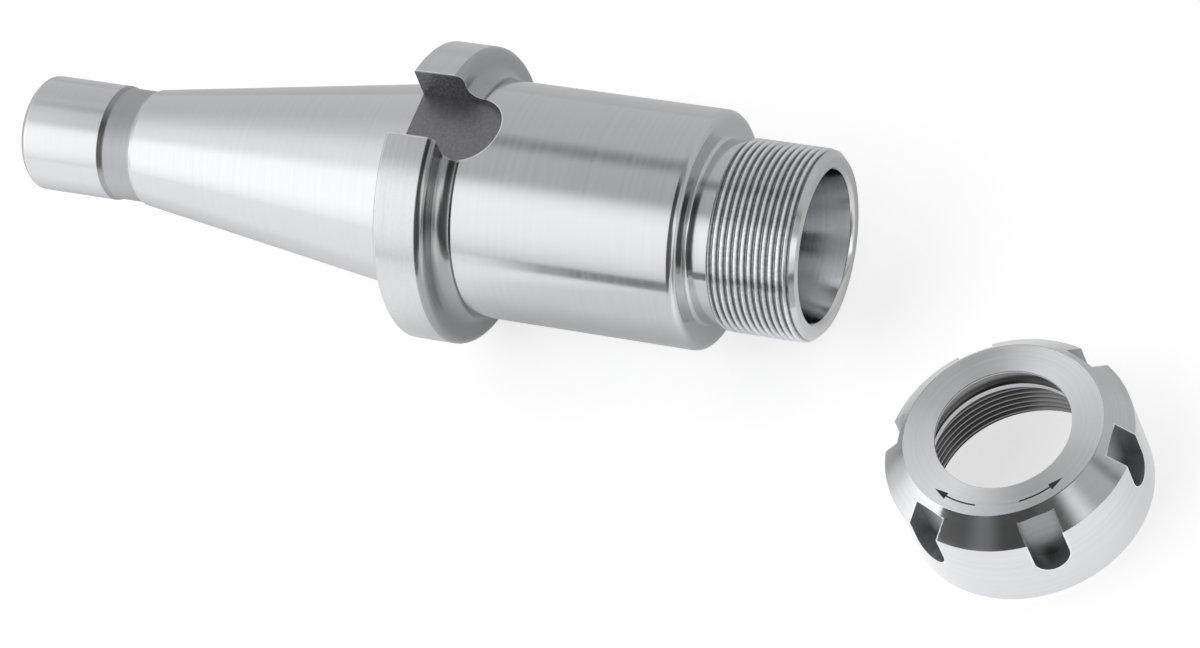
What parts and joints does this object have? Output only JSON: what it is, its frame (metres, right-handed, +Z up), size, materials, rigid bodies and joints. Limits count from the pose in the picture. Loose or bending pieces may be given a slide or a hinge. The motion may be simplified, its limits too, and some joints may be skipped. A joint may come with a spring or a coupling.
{
  "type": "collet chuck holder",
  "caption": "Steep taper tool holder with a flange, drive slots, straight body, threaded nose and collet socket, lying beside its slotted clamping nut.",
  "frame": {"origin": "centre of the gauge plane, where the taper is 44.45 mm wide, on the holder's axis", "axes": "+Z up, with the surface that both pieces rest on at Z = -31.4 mm; +X along the lying holder towards its nose, seen from above; the holder's own axis dips 5.9 degrees below +X, because it rests on its flange and on the front edge of its straight body"},
  "size_m": [0.2577, 0.0958, 0.0615],
  "materials": {
    "ground_steel": "ground and turned",
    "nut_steel": "fine turned"
  },
  "bodies": {
    "root": {"holder_body": "ground_steel", "clamping_nut": "nut_steel"}
  },
  "joints": []
}
